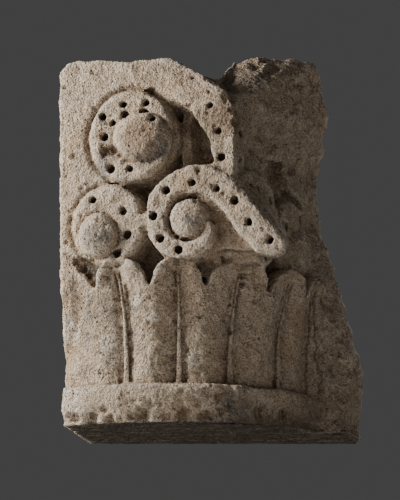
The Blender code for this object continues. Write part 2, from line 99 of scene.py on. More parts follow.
class Grain:
    """Noise over space that is the same at every run."""

    def __init__(self, seed: int) -> None:
        """Shuffles the lattice.

        Args:
            seed: The number that the shuffle starts from.
        """
        chance = np.random.default_rng(seed)
        self.order = chance.permutation(256)
        slopes = chance.normal(size=(256, 3))
        self.slopes = slopes / np.linalg.norm(slopes, axis=1, keepdims=True)
        self.places = chance.random(size=(256, 3))
        self.chances = chance.random(size=256)

    def _entry(self, cell: np.ndarray) -> np.ndarray:
        """Entry of the shuffled table for each lattice cell.

        Args:
            cell: Whole-number lattice places, one row each.

        Returns:
            An index below 256 for each row.
        """
        first = self.order[cell[:, 0] & 255]
        second = self.order[(first + cell[:, 1]) & 255]
        return self.order[(second + cell[:, 2]) & 255]

    def waves(self, points: np.ndarray, length: float) -> np.ndarray:
        """One layer of smooth noise between about -1 and 1.

        Args:
            points: Places in space, one row each.
            length: How far apart its swells lie.

        Returns:
            The noise at each place.
        """
        scaled = points / length
        cell = np.floor(scaled).astype(np.int64)
        inside = scaled - cell
        blend = inside ** 3 * (inside * (inside * 6.0 - 15.0) + 10.0)
        total = np.zeros(len(points))
        for corner in product((0, 1), repeat=3):
            shift = np.array(corner)
            weight = np.prod(np.where(shift, blend, 1.0 - blend), axis=1)
            slope = self.slopes[self._entry(cell + shift)]
            total += weight * ((inside - shift) * slope).sum(axis=1)
        return total * 1.7

    def layers(
        self, points: np.ndarray, length: float, count: int, keep: float = 0.5
    ) -> np.ndarray:
        """Several layers of noise, each half as long as the one before.

        Args:
            points: Places in space, one row each.
            length: The first layer's length.
            count: How many layers there are.
            keep: How much of the height each next layer keeps.

        Returns:
            The summed noise at each place.
        """
        total = np.zeros(len(points))
        height = 1.0
        for step in range(count):
            total += height * self.waves(points + 0.37 * step, length / 2 ** step)
            height *= keep
        return total

    def cells(self, points: np.ndarray, size: float) -> tuple[np.ndarray, np.ndarray, np.ndarray]:
        """Scattered seeds, one to a cell of a lattice.

        Args:
            points: Places in space, one row each.
            size: The lattice's pitch.

        Returns:
            The distance to the nearest seed and to the next one, both in cells, and the
            nearest seed's own chance number.
        """
        scaled = points / size
        cell = np.floor(scaled).astype(np.int64)
        nearest = np.full(len(points), 9.0)
        second = np.full(len(points), 9.0)
        chance = np.zeros(len(points))
        for corner in product((-1, 0, 1), repeat=3):
            other = cell + np.array(corner)
            entry = self._entry(other)
            gap = np.linalg.norm(other + self.places[entry] - scaled, axis=1)
            closer = gap < nearest
            second = np.where(closer, nearest, np.minimum(second, gap))
            chance = np.where(closer, self.chances[entry], chance)
            nearest = np.where(closer, gap, nearest)
        return nearest, second, chance


# Shader nodes


@dataclass(frozen=True)
class Field:
    """A number that varies over the surface, held as a shader socket."""

    tree: bpy.types.NodeTree
    socket: bpy.types.NodeSocket

    def _math(self, operation: str, *terms: Number) -> "Field":
        """Adds one Math node.

        Args:
            operation: The node's operation.
            terms: Its inputs, numbers or fields.

        Returns:
            The node's result.
        """
        node = self.tree.nodes.new("ShaderNodeMath")
        node.operation = operation
        for slot, term in zip(node.inputs, terms):
            plug(self.tree, slot, term)
        return Field(self.tree, node.outputs[0])

    def __add__(self, other: Number) -> "Field":
        """This field plus another number."""
        return self._math("ADD", self, other)

    def __sub__(self, other: Number) -> "Field":
        """This field less another number."""
        return self._math("SUBTRACT", self, other)

    def __rsub__(self, other: Number) -> "Field":
        """Another number less this field."""
        return self._math("SUBTRACT", other, self)

    def __mul__(self, other: Number) -> "Field":
        """This field times another number."""
        return self._math("MULTIPLY", self, other)

    def step(self, start: float, end: float) -> "Field":
        """A smooth step over this field.

        Args:
            start: Where the step is 0.
            end: Where it has reached 1.

        Returns:
            The step, between 0 and 1.
        """
        node = self.tree.nodes.new("ShaderNodeMapRange")
        node.interpolation_type = "SMOOTHSTEP"
        plug(self.tree, node.inputs["Value"], self)
        node.inputs["From Min"].default_value = start
        node.inputs["From Max"].default_value = end
        return Field(self.tree, node.outputs["Result"])


def plug(tree: bpy.types.NodeTree, slot: bpy.types.NodeSocket, value: Any) -> None:
    """Links a field to a socket, or sets the socket to a plain value.

    Args:
        tree: The material's node tree.
        slot: The input socket.
        value: A field, a number, or a tuple of numbers.
    """
    if isinstance(value, Field):
        tree.links.new(value.socket, slot)
    else:
        slot.default_value = value


@dataclass(frozen=True)
class Palette:
    """A new material with the few kinds of node that a finish needs."""

    name: str

    def start(self) -> bpy.types.Material:
        """Makes the material, with its shader and output alone."""
        material = bpy.data.materials.new(self.name)
        material.use_nodes = True
        return material

    @staticmethod
    def node(
        material: bpy.types.Material,
        kind: str,
        settings: Mapping[str, Any],
        sockets: Mapping[str, Any],
        output: str,
    ) -> Field:
        """Adds any node: settings first, then its sockets.

        Args:
            material: The material it goes into.
            kind: The node's type.
            settings: The node's own properties.
            sockets: Values or fields for its inputs.
            output: The name of the output that is wanted.

        Returns:
            That output.
        """
        tree = material.node_tree
        node = tree.nodes.new(kind)
        for key, value in settings.items():
            setattr(node, key, value)
        for key, value in sockets.items():
            plug(tree, node.inputs[key], value)
        return Field(tree, node.outputs[output])

    @classmethod
    def mix(cls, material: bpy.types.Material, share: Number, under: Any, over: Any) -> Field:
        """Lays one colour over another.

        Args:
            material: The material it goes into.
            share: How much of the upper colour shows.
            under: The lower colour, a field or a tuple.
            over: The upper colour, a field or a tuple.

        Returns:
            The joined colour.
        """
        tree = material.node_tree
        node = tree.nodes.new("ShaderNodeMix")
        node.data_type = "RGBA"
        plug(tree, node.inputs[0], share)
        for slot, colour in ((node.inputs[6], under), (node.inputs[7], over)):
            plug(tree, slot, colour if isinstance(colour, Field) else (*colour, 1.0))
        return Field(tree, node.outputs[2])


@dataclass(frozen=True)
class Limestone:
    """Weathered shelly limestone: warm, gritty, with old growth and damp marks, and with painted
    shade in hollows, undersides and shaded recesses and a painted highlight on proud edges.
    """

    pale: Colour = (0.56, 0.455, 0.345)
    middle: Colour = (0.37, 0.288, 0.208)
    warm: Colour = (0.43, 0.295, 0.175)
    speck: Colour = (0.075, 0.060, 0.048)
    lichen: Colour = (0.105, 0.108, 0.112)
    # colour of damp marks and stains, also used for painted shade in hollows and shaded recesses
    stain_and_shade: Colour = (0.150, 0.090, 0.048)
    # chalky white, also used as a painted highlight on proud edges
    chalk: Colour = (0.70, 0.63, 0.54)
    # dark blackening colour, also used as painted shade on undersides and in the dent beside the
    # first leaf
    soot_and_shade: Colour = (0.060, 0.052, 0.044)
    roughness: float = 0.93
    gloss: float = 0.2
    bump_height: float = 0.0030

    def make(self) -> bpy.types.Material:
        """Builds the finish.

        Returns:
            The limestone material.
        """
        kit = Palette("limestone_weathered")
        stone = kit.start()
        place = kit.node(stone, "ShaderNodeTexCoord", {}, {}, "Object")

        def noise(scale: float, detail: float, rough: float = 0.6) -> Field:
            """One noise texture over the part's own frame."""
            sockets = {"Vector": place, "Scale": scale, "Detail": detail, "Roughness": rough}
            return kit.node(stone, "ShaderNodeTexNoise", {}, sockets, "Fac")

        def cells(scale: float) -> Field:
            """Distance to the nearest of many scattered grains."""
            sockets = {"Vector": place, "Scale": scale, "Randomness": 1.0}
            return kit.node(stone, "ShaderNodeTexVoronoi", {"feature": "F1"}, sockets, "Distance")

        def mask(zone: Union[Zone, str]) -> Field:
            """One of the masks that the mesh carries."""
            name = zone.value if isinstance(zone, Zone) else zone
            return kit.node(stone, "ShaderNodeAttribute", {"attribute_name": name}, {}, "Fac")

        broad = noise(15.0, 4.0)
        mottle = noise(80.0, 5.0, 0.65)
        coarse = noise(290.0, 3.0, 0.65)
        fine = noise(640.0, 3.0, 0.7)
        grains = cells(560.0)
        pores = (1 - cells(300.0).step(0.12, 0.30)) * noise(120.0, 2.0).step(0.46, 0.60)

        light = (mottle * 0.5 + coarse * 0.5).step(0.40, 0.60)
        colour = kit.mix(stone, light, self.middle, self.pale)
        colour = kit.mix(stone, broad.step(0.48, 0.68) * 0.55, colour, self.warm)
        # painted shade: hollows darkened towards the colour of stains, with some dirt
        colour = kit.mix(stone, mask("hollow") * 0.70, colour, self.stain_and_shade)
        # painted highlight: proud edges lightened towards chalk, together with rubbed wear
        colour = kit.mix(stone, mask("edge") * 0.40, colour, self.chalk)
        # damp marks, and painted shade where patches sit in the shaded recesses and the hollows
        # over the ribs
        stained_and_shaded = (mask(Zone.STAIN_AND_SHADE) + mottle - 0.5).step(0.35, 0.75) * 0.65
        colour = kit.mix(stone, stained_and_shaded, colour, self.stain_and_shade)
        grown = (mask(Zone.LICHEN) * 0.75 + (coarse + fine + mottle - 1.5) * 1.5).step(0.30, 0.75)
        grown = grown * mask(Zone.LICHEN).step(0.02, 0.30) * 0.80
        colour = kit.mix(stone, grown, colour, self.lichen)
        # patches of blackening, and painted shade on every downward-facing surface and in the dent
        # beside the first leaf
        sooty_and_shaded = (mask(Zone.SOOT_AND_SHADE) * 0.8 + (coarse + mottle - 1.0) * 1.4).step(0.20, 0.80)
        sooty_and_shaded = sooty_and_shaded * mask(Zone.SOOT_AND_SHADE).step(0.02, 0.30) * 0.80
        colour = kit.mix(stone, sooty_and_shaded, colour, self.soot_and_shade)
        chalky = (mask(Zone.CHALK) + (fine + coarse - 1.0) * 1.2).step(0.40, 0.80)
        chalky = chalky * mask(Zone.CHALK).step(0.02, 0.30) * 0.80
        colour = kit.mix(stone, chalky, colour, self.chalk)
        colour = kit.mix(stone, pores * 0.70, colour, self.speck)
        colour = kit.mix(stone, fine.step(0.50, 0.36) * 0.50, colour, self.speck)
        colour = kit.mix(stone, fine.step(0.54, 0.66) * 0.50, colour, self.chalk)

        height = fine * 0.7 + coarse * 0.9 + mottle * 0.4 + grains * -0.35 - pores * 0.8
        normal = kit.node(
            stone,
            "ShaderNodeBump",
            {},
            {"Strength": 1.0, "Distance": self.bump_height, "Height": height},
            "Normal",
        )
        shader = stone.node_tree.nodes["Principled BSDF"]
        plug(stone.node_tree, shader.inputs["Base Color"], colour)
        plug(stone.node_tree, shader.inputs["Normal"], normal)
        shader.inputs["Roughness"].default_value = self.roughness
        shader.inputs["Specular IOR Level"].default_value = self.gloss
        return stone


# The camera and the studio


@dataclass(frozen=True)
class PhotoCamera:
    """The camera that took the photograph, low in front and looking up."""

    place: tuple[float, float, float] = (0.030, -2.0, -0.245)
    tilt_degrees: float = 11.9
    focal_pixels: float = 2248.0
    width: int = 400
    height: int = 500

    def build(self) -> bpy.types.Object:
        """Makes the scene's camera.

        Returns:
            The camera object.
        """
        data = bpy.data.cameras.new("photo_camera")
        data.sensor_width = 36.0
        data.lens = self.focal_pixels * data.sensor_width / self.height
        camera = bpy.data.objects.new("photo_camera", data)
        camera.location = self.place
        camera.rotation_euler = (math.radians(90.0 + self.tilt_degrees), 0.0, 0.0)
        bpy.context.scene.collection.objects.link(camera)
        bpy.context.scene.camera = camera
        return camera

    def ray(self, across: float, down: float) -> tuple[Vector, Vector]:
        """The line of sight through one pixel of the photograph.

        Args:
            across: Pixels from the left edge.
            down: Pixels from the top edge.

        Returns:
            The camera's place and the direction of sight.
        """
        tilt = math.radians(self.tilt_degrees)
        rise = (self.height / 2 - down) / self.focal_pixels
        side = (across - self.width / 2) / self.focal_pixels
        ahead = math.cos(tilt) - rise * math.sin(tilt)
        direction = Vector((side, ahead, rise * math.cos(tilt) + math.sin(tilt)))
        return Vector(self.place), direction.normalized()


@dataclass(frozen=True)
class Lamp:
    """A soft square lamp that looks at the stone."""

    name: str
    azimuth: float
    elevation: float
    power: float
    side: float
    colour: Colour = (1.0, 0.965, 0.92)
    distance: float = 1.7
    aim: tuple[float, float, float] = (0.0, -0.09, 0.13)

    def build(self) -> bpy.types.Object:
        """Makes the lamp.

        Returns:
            The lamp object.
        """
        data = bpy.data.lights.new(self.name, "AREA")
        data.shape = "SQUARE"
        data.size = self.side
        data.energy = self.power
        data.color = self.colour
        lamp = bpy.data.objects.new(self.name, data)
        turn, lift = math.radians(self.azimuth), math.radians(self.elevation)
        level = math.cos(lift)
        out = Vector((math.sin(turn) * level, -math.cos(turn) * level, math.sin(lift)))
        lamp.location = Vector(self.aim) + out * self.distance
        lamp.rotation_euler = (-out).to_track_quat("-Z", "Y").to_euler()
        bpy.context.scene.collection.objects.link(lamp)
        return lamp


@dataclass
class Studio:
    """A pale floor and soft light."""

    floor_radius: float = 14.0
    inner_radius: float = 0.6
    bed_height: float = 0.0005
    floor_drop: float = 0.0006
    foot_margin: float = 0.0025
    foot_of: str = "capital"
    floor_colour: Colour = (0.66, 0.65, 0.63)
    air_colour: Colour = (0.80, 0.80, 0.80)
    air_strength: float = 0.075
    lamps: Sequence[Lamp] = (
        Lamp("key_lamp", -77.0, 24.0, power=13.0, side=0.25, distance=0.72),
        Lamp("fill_lamp", 30.0, 4.0, power=0.8, side=1.2, colour=(1.0, 0.95, 0.90)),
        Lamp("rear_lamp", 165.0, 22.0, power=22.0, side=0.8, colour=(1.0, 0.98, 0.95)),
        Lamp("under_lamp", -35.0, -35.0, power=5.0, side=0.6, colour=(1.0, 0.97, 0.93)),
    )

    def floor_finish(self) -> bpy.types.Material:
        """Pale paint that is seen from above only, so that a low camera looks past it.

        Returns:
            The floor's material.
        """
        kit = Palette("floor_paint")
        paint = kit.start()
        tree = paint.node_tree
        shader = tree.nodes["Principled BSDF"]
        shader.inputs["Base Color"].default_value = (*self.floor_colour, 1.0)
        shader.inputs["Roughness"].default_value = 0.9
        clear = kit.node(paint, "ShaderNodeBsdfTransparent", {}, {}, "BSDF")
        below = kit.node(paint, "ShaderNodeNewGeometry", {}, {}, "Backfacing")
        both = tree.nodes.new("ShaderNodeMixShader")
        plug(tree, both.inputs[0], below)
        tree.links.new(shader.outputs[0], both.inputs[1])
        plug(tree, both.inputs[2], clear)
        tree.links.new(both.outputs[0], tree.nodes["Material Output"].inputs["Surface"])
        return paint

    def foot(self) -> list[Vector]:
        """The outline of the lower bed, drawn in by a small margin.

        Returns:
            Its corners in plan, anticlockwise.
        """
        mesh = bpy.data.objects[self.foot_of].data
        low = [Vector((v.co.x, v.co.y)) for v in mesh.vertices if v.co.z < self.bed_height]
        middle = sum(low, Vector((0.0, 0.0))) / len(low)
        ring = [low[i] for i in geometry.convex_hull_2d(low)]
        return [corner - (corner - middle).normalized() * self.foot_margin for corner in ring]

    def floor(self) -> bpy.types.Object:
        """A wide floor with an opening under the stone, where nobody sees its edge from above.

        Returns:
            The floor object.
        """
        shape = bmesh.new()
        inner = self.foot()
        middle = sum(inner, Vector((0.0, 0.0))) / len(inner)
        loops = [[shape.verts.new((c.x, c.y, -self.floor_drop)) for c in inner]]
        for radius in (self.inner_radius, self.floor_radius):
            rim = [middle + (c - middle).normalized() * radius for c in inner]
            loops.append([shape.verts.new((c.x, c.y, -self.floor_drop)) for c in rim])
        for near, far in zip(loops, loops[1:]):
            for i in range(len(near)):
                j = (i + 1) % len(near)
                shape.faces.new((near[i], far[i], far[j], near[j]))
        bmesh.ops.recalc_face_normals(shape, faces=shape.faces)
        if shape.faces[:][0].normal.z < 0.0:
            bmesh.ops.reverse_faces(shape, faces=shape.faces)
        mesh = bpy.data.meshes.new("floor")
        shape.to_mesh(mesh)
        shape.free()
        mesh.materials.append(self.floor_finish())
        floor = bpy.data.objects.new("floor", mesh)
        bpy.context.scene.collection.objects.link(floor)
        return floor

    def air(self) -> bpy.types.World:
        """Even light from all round, which is also the plain background.

        Returns:
            The scene's world.
        """
        world = bpy.data.worlds.new("air")
        world.use_nodes = True
        glow = world.node_tree.nodes["Background"]
        glow.inputs["Color"].default_value = (*self.air_colour, 1.0)
        glow.inputs["Strength"].default_value = self.air_strength
        bpy.context.scene.world = world
        return world

    def build(self) -> None:
        """Sets up the floor, the lamps and the air."""
        self.floor()
        self.air()
        for lamp in self.lamps:
            lamp.build()
            log.info("lamp %s", lamp.name)


# The stone


@dataclass(frozen=True)
class Gouge:
    """A chip, pit or hollow at one place of the photograph."""

    across: float
    down: float
    radius: float
    depth: float
    rough: float = 0.35


@dataclass(frozen=True)
class Patch:
    """A patch of growth, damp marks, chalk, blackening or painted shade at one place of the
    photograph.
    """

    zone: Zone
    across: float
    down: float
    radius: float
    strength: float = 1.0


@dataclass(frozen=True)
class LeafRib:
    """The two cut grooves beside one leaf's rib, from the ledge up to the leaf's hollow."""

    foot_angle: float
    top_angle: float
    foot_half: float = 0.0040
    top_half: float = 0.0016
    low: float = 0.033
    high: float = 0.126
    bell_radius: float = 0.1390
    wide: float = 0.00085
    deep: float = 0.0026

    def depth(self, points: np.ndarray) -> np.ndarray:
        """How deep the two grooves are at each place.

        Args:
            points: The stone's vertices.

        Returns:
            A depth for each vertex.
        """
        x, y, z = points.T
        rise = np.clip((z - self.low) / (self.high - self.low), 0.0, 1.0)
        middle = self.foot_angle + (self.top_angle - self.foot_angle) * rise ** 3
        off = np.radians(np.degrees(np.arctan2(x, -y)) - middle) * self.bell_radius
        side = np.abs(off) - (self.foot_half + (self.top_half - self.foot_half) * rise)
        within = ramp(z, self.low, self.low + 0.004) * ramp(-z, -self.high - 0.004, -self.high)
        return self.deep * within * np.exp(-((side / self.wide) ** 2)) * (y < 0.0)


RIBS: tuple[LeafRib, ...] = (
    LeafRib(-13.6, -16.0),
    LeafRib(5.3, 4.4),
    LeafRib(24.0, 26.5),
    LeafRib(45.5, 48.5),
    LeafRib(62.5, 65.0),
)

@dataclass(frozen=True)
class RimGroove:
    """The worn groove round a scroll of the first face, or round the boss that stands on it."""

    along: float
    height: float
    radius: float
    squash: float = 0.945
    ridge: tuple[float, float] = (0.060, -0.172)
    turn_degrees: float = 16.0
    wide: float = 0.0022
    deep: float = 0.0030
    reach: float = 0.012

    def depth(self, points: np.ndarray) -> np.ndarray:
        """How deep the groove is at each place.

        Args:
            points: The stone's vertices.

        Returns:
            A depth for each vertex.
        """
        turn = math.radians(self.turn_degrees)
        x, y, z = (points - np.array([*self.ridge, self.height])).T
        along = -x * math.cos(turn) + y * math.sin(turn) - self.along
        out = -x * math.sin(turn) - y * math.cos(turn)
        side = np.hypot(along / self.squash, z) - self.radius
        within = ramp(out, -self.reach, -0.5 * self.reach)
        return self.deep * np.exp(-((side / self.wide) ** 2)) * within


RIMS: tuple[RimGroove, ...] = (
    RimGroove(0.0926, 0.2450, 0.0425),
    RimGroove(0.1125, 0.1690, 0.0365, deep=0.0022),
    RimGroove(0.0832, 0.2436, 0.0220, squash=1.20, wide=0.0015, deep=0.0016),
    RimGroove(0.1211, 0.1596, 0.0201, squash=0.94, wide=0.0015, deep=0.0018),
)

GOUGES: tuple[Gouge, ...] = (
    # the neck ring: two large losses and scattered pits
    Gouge(226, 395, 0.0080, 0.0065),
    Gouge(231, 404, 0.0050, 0.0045),
    Gouge(243, 402, 0.0090, 0.0050),
    Gouge(103, 411, 0.0034, 0.0032),
    Gouge(131, 417, 0.0030, 0.0028),
    Gouge(120, 420, 0.0026, 0.0024),
    Gouge(134, 401, 0.0024, 0.0018),
    Gouge(160, 404, 0.0026, 0.0020),
    Gouge(74, 418, 0.0050, 0.0050),
    Gouge(90, 421, 0.0060, 0.0060),
    Gouge(109, 421, 0.0052, 0.0046),
    Gouge(141, 418, 0.0068, 0.0064),
    Gouge(152, 405, 0.0036, 0.0026),
    Gouge(165, 417, 0.0040, 0.0036),
    Gouge(182, 415, 0.0068, 0.0064),
    Gouge(197, 404, 0.0034, 0.0024),
    Gouge(207, 417, 0.0054, 0.0056),
    Gouge(222, 411, 0.0046, 0.0050),
    Gouge(262, 413, 0.0076, 0.0060),
    Gouge(286, 416, 0.0060, 0.0040),
    # the broken channel on the upper scroll, and the worn cluster of holes above its boss
    Gouge(105, 151, 0.0048, 0.0050),
    Gouge(112, 150, 0.0044, 0.0048),
    Gouge(118, 155, 0.0040, 0.0040),
    Gouge(125, 160, 0.0036, 0.0026),
    Gouge(106, 119, 0.0040, 0.0022),
    Gouge(128, 109, 0.0040, 0.0020),
    Gouge(147, 106, 0.0042, 0.0022),
    Gouge(187, 109, 0.0045, 0.0040),
    # the branching hollow beside the first leaf
    Gouge(79, 262, 0.0036, 0.0050),
    Gouge(84, 268, 0.0036, 0.0060),
    Gouge(90, 275, 0.0034, 0.0060),
    Gouge(91, 262, 0.0030, 0.0030),
    # worn hollows
    Gouge(221, 157, 0.0046, 0.0028),
    Gouge(199, 169, 0.0034, 0.0022),
    Gouge(82, 188, 0.0030, 0.0012),
    Gouge(119, 250, 0.0034, 0.0018),
    # the hollows over the ribs
    Gouge(109, 277, 0.0022, 0.0020),
    Gouge(176, 273, 0.0026, 0.0028),
    Gouge(177, 280, 0.0022, 0.0022),
    Gouge(243, 276, 0.0030, 0.0040),
    Gouge(243, 284, 0.0026, 0.0036),
    # the broken edge of the upper stem
    Gouge(226, 96, 0.0046, 0.0022),
    Gouge(233, 110, 0.0040, 0.0024),
    Gouge(236, 122, 0.0036, 0.0024),
    Gouge(229, 332, 0.0022, 0.0050),
)

DRILLED: tuple[Gouge, ...] = (
    # holes of the second face, which start at its broken surface
    Gouge(252.5, 185, 0.0030, 0.0065, 0.05),
    Gouge(264, 208, 0.0030, 0.0065, 0.05),
    Gouge(279, 229, 0.0030, 0.0055, 0.05),
    Gouge(262, 161, 0.0030, 0.0050, 0.15),
    Gouge(266, 179, 0.0030, 0.0050, 0.15),
    Gouge(275, 195, 0.0030, 0.0050, 0.15),
    Gouge(246, 104, 0.0024, 0.0035, 0.10),
)

PATCHES: tuple[Patch, ...] = (
    Patch(Zone.LICHEN, 160, 149, 0.011, 0.9),
    Patch(Zone.LICHEN, 148, 158, 0.010, 0.8),
    Patch(Zone.LICHEN, 95, 236, 0.015, 0.8),
    Patch(Zone.LICHEN, 188, 222, 0.013, 0.6),
    Patch(Zone.LICHEN, 103, 165, 0.013, 0.75),
    Patch(Zone.LICHEN, 96, 308, 0.017, 0.75),
    Patch(Zone.LICHEN, 84, 338, 0.014, 0.6),
    Patch(Zone.LICHEN, 137, 303, 0.010, 0.6),
    Patch(Zone.LICHEN, 163, 225, 0.010, 0.5),
    Patch(Zone.LICHEN, 238, 404, 0.020, 0.7),
    Patch(Zone.LICHEN, 235, 330, 0.012, 0.5),
    Patch(Zone.CHALK, 152, 318, 0.008, 0.7),
    Patch(Zone.CHALK, 137, 300, 0.008, 0.7),
    Patch(Zone.CHALK, 70, 330, 0.018, 0.7),
    Patch(Zone.CHALK, 113, 350, 0.018, 0.6),
    Patch(Zone.CHALK, 193, 358, 0.012, 0.6),
    Patch(Zone.CHALK, 72, 405, 0.022, 0.6),
    Patch(Zone.STAIN_AND_SHADE, 108, 152, 0.009, 0.9),
    Patch(Zone.STAIN_AND_SHADE, 140, 136, 0.024, 0.65),
    Patch(Zone.STAIN_AND_SHADE, 187, 218, 0.020, 0.40),
    Patch(Zone.STAIN_AND_SHADE, 215, 120, 0.028, 0.70),
    Patch(Zone.STAIN_AND_SHADE, 205, 180, 0.024, 0.55),
    Patch(Zone.STAIN_AND_SHADE, 92, 88, 0.020, 0.35),
    Patch(Zone.STAIN_AND_SHADE, 221, 157, 0.010, 0.7),
    # painted shade: the recess beside the upper disc, the triangle between the lower scrolls and
    # the hollows over the ribs
    Patch(Zone.STAIN_AND_SHADE, 190, 125, 0.018, 0.6),
    Patch(Zone.STAIN_AND_SHADE, 145, 252, 0.012, 0.6),
    Patch(Zone.STAIN_AND_SHADE, 178, 268, 0.010, 0.5),
    Patch(Zone.STAIN_AND_SHADE, 243, 266, 0.010, 0.5),
    # painted shade in the dent beside the first leaf
    Patch(Zone.SOOT_AND_SHADE, 90, 272, 0.010, 0.7),
    Patch(Zone.SOOT_AND_SHADE, 68, 92, 0.008, 0.4),
)


@dataclass
class CarvedStone:
    """The stone itself: an even skin over the solid, then wear, chips and pits."""

    node: str = "capital"
    skin: float = 0.00105
    worn_steps: int = 12
    crisp_steps: int = 2
    most_triangles: int = 195_000
    plain_first: float = 1.0
    plain_kept: float = 0.35
    swell: float = 0.0013
    pit_size: float = 0.0062
    pit_depth: float = 0.0017
    grit: float = 0.00042
    chip_depth: float = 0.0036
    break_swell: float = 0.0034
    # how far apart the swells, grit, chips, facets and tool marks lie
    swell_length: float = 0.018
    grit_length: float = 0.0034
    chip_spread: float = 0.016
    chip_bite: float = 0.005
    facet_size: float = 0.021
    break_length: float = 0.026
    shake: float = 0.0015
    shake_length: float = 0.007
    mark_length: float = 0.0055
    mark_depth: float = 0.0016
    # how steep the sides of a chip and of a drilled hole are
    soft_edge: int = 3
    sharp_edge: int = 8
    # where the stone is raw and broken: each pair is where it starts and where it is full
    block_right_of: Span = (0.066, 0.082)
    block_above: Span = (0.200, 0.222)
    tail_right_of: Span = (0.118, 0.140)
    tail_behind: Span = (-0.110, -0.080)
    top_above: Span = (0.312, 0.320)
    top_share: float = 0.6
    foot_below: float = 0.022
    foot_fade: float = 0.016
    foot_share: float = 0.42
    # where the stone is plain, so that its mesh may be coarser
    plain_behind: Span = (-0.070, -0.030)
    plain_above: Span = (0.300, 0.316)
    joint_facing: Span = (0.75, 0.95)
    joint_past: Span = (0.070, 0.082)
    bed_depth: Span = (-0.004, -0.001)
    # how deep a hollow must be for painted shade with dirt, and how proud an edge for a painted
    # highlight with rubbed wear
    hollow_dirt_and_shade_span: Span = (0.0002, 0.0016)
    rubbed_edge_and_highlight_span: Span = (0.0002, 0.0012)
    gouges: Sequence[Gouge] = GOUGES
    drilled: Sequence[Gouge] = DRILLED
    ribs: Sequence[LeafRib] = RIBS
    rims: Sequence[RimGroove] = RIMS
    patches: Sequence[Patch] = PATCHES
    camera: PhotoCamera = field(default_factory=PhotoCamera)
    finish: Limestone = field(default_factory=Limestone)

    def solid(self) -> bpy.types.Object:
        """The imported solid."""
        return bpy.data.objects[self.node]

    def skinned(self) -> bpy.types.Object:
        """Copies the solid under an even skin of small faces.

        Returns:
            The new object.
        """
        mesh = self.solid().data.copy()
        stone = bpy.data.objects.new("capital_stone", mesh)
        bpy.context.scene.collection.objects.link(stone)
        skin = stone.modifiers.new("skin", "REMESH")
        skin.mode = "VOXEL"
        skin.voxel_size = self.skin
        skin.use_smooth_shade = True
        self.settle(stone)
        return stone

    @staticmethod
    def settle(stone: bpy.types.Object) -> None:
        """Applies an object's modifiers to its mesh.

        Args:
            stone: The object with modifiers.
        """
        bpy.context.view_layer.update()
        shown = stone.evaluated_get(bpy.context.evaluated_depsgraph_get())
        old = stone.data
        stone.data = bpy.data.meshes.new_from_object(shown)
        stone.modifiers.clear()
        bpy.data.meshes.remove(old)

    @staticmethod
    def points(mesh: bpy.types.Mesh) -> np.ndarray:
        """The mesh's vertices, one row each."""
        flat = np.empty(len(mesh.vertices) * 3)
        mesh.vertices.foreach_get("co", flat)
        return flat.reshape(-1, 3)

    @staticmethod
    def edges(mesh: bpy.types.Mesh) -> np.ndarray:
        """The mesh's edges as pairs of vertex numbers."""
        flat = np.empty(len(mesh.edges) * 2, dtype=np.int64)
        mesh.edges.foreach_get("vertices", flat)
        return flat.reshape(-1, 2)

    @staticmethod
    def relax(values: np.ndarray, edges: np.ndarray, steps: int, share: float = 0.5) -> np.ndarray:
        """Evens out values over the mesh.

        Args:
            values: One row of numbers to a vertex.
            edges: Pairs of vertex numbers.
            steps: How many times the values are evened out.
            share: How far each value goes towards its neighbours' mean.

        Returns:
            The evened values.
        """
        count = len(values)
        ends = np.concatenate((edges[:, 0], edges[:, 1]))
        others = np.concatenate((edges[:, 1], edges[:, 0]))
        degree = np.maximum(np.bincount(ends, minlength=count), 1)
        values = values.copy()
        for _ in range(steps):
            for column in range(values.shape[1]):
                total = np.bincount(ends, weights=values[others, column], minlength=count)
                values[:, column] += share * (total / degree - values[:, column])
        return values

    @staticmethod
    def normals(mesh: bpy.types.Mesh) -> np.ndarray:
        """The mesh's vertex normals, one row each."""
        flat = np.empty(len(mesh.vertices) * 3)
        mesh.vertex_normals.foreach_get("vector", flat)
        return flat.reshape(-1, 3)

    def seen(self, tree: BVHTree, across: float, down: float) -> tuple[np.ndarray, np.ndarray]:
        """Where the photograph's pixel falls on the stone.

        Args:
            tree: The stone's faces, ready for a search.
            across: Pixels from the photograph's left edge.
            down: Pixels from its top edge.

        Returns:
            The place and the surface's normal there.
        """
        start, direction = self.camera.ray(across, down)
        place, normal, _, _ = tree.ray_cast(start, direction)
        if place is None:
            raise ValueError(f"no stone at pixel {across}, {down}")
        return np.array(place), np.array(normal)

    def breaks(self, points: np.ndarray) -> np.ndarray:
        """How much of each place is raw broken stone.

        Args:
            points: The stone's vertices.

        Returns:
            A share between 0 and 1 for each vertex.
        """
        x, y, z = points.T
        block = ramp(x, *self.block_right_of) * ramp(z, *self.block_above)
        tail = ramp(x, *self.tail_right_of) * ramp(y, *self.tail_behind)
        top = ramp(z, *self.top_above) * self.top_share
        foot = ramp(self.foot_below - z, 0.0, self.foot_fade) * self.foot_share
        return np.clip(np.maximum.reduce((block, tail, top, foot)), 0.0, 1.0)

    def wear(self, points: np.ndarray, edges: np.ndarray, normals: np.ndarray) -> np.ndarray:
        """Rounds the stone off, but leaves drilled holes and grooves crisp.

        Args:
            points: The skin's vertices.
            edges: Pairs of vertex numbers.
            normals: The vertices' normals.

        Returns:
            The worn places of the vertices.
        """
        crisp = self.relax(points, edges, self.crisp_steps)
        worn = self.relax(crisp, edges, self.worn_steps)
        sunk = ((self.relax(worn, edges, 10) - points) * normals).sum(axis=1)
        keep = self.relax(ramp(sunk, 0.0004, 0.0010)[:, None], edges, 3)
        return worn + (crisp - worn) * np.clip(keep * 1.5, 0.0, 1.0)

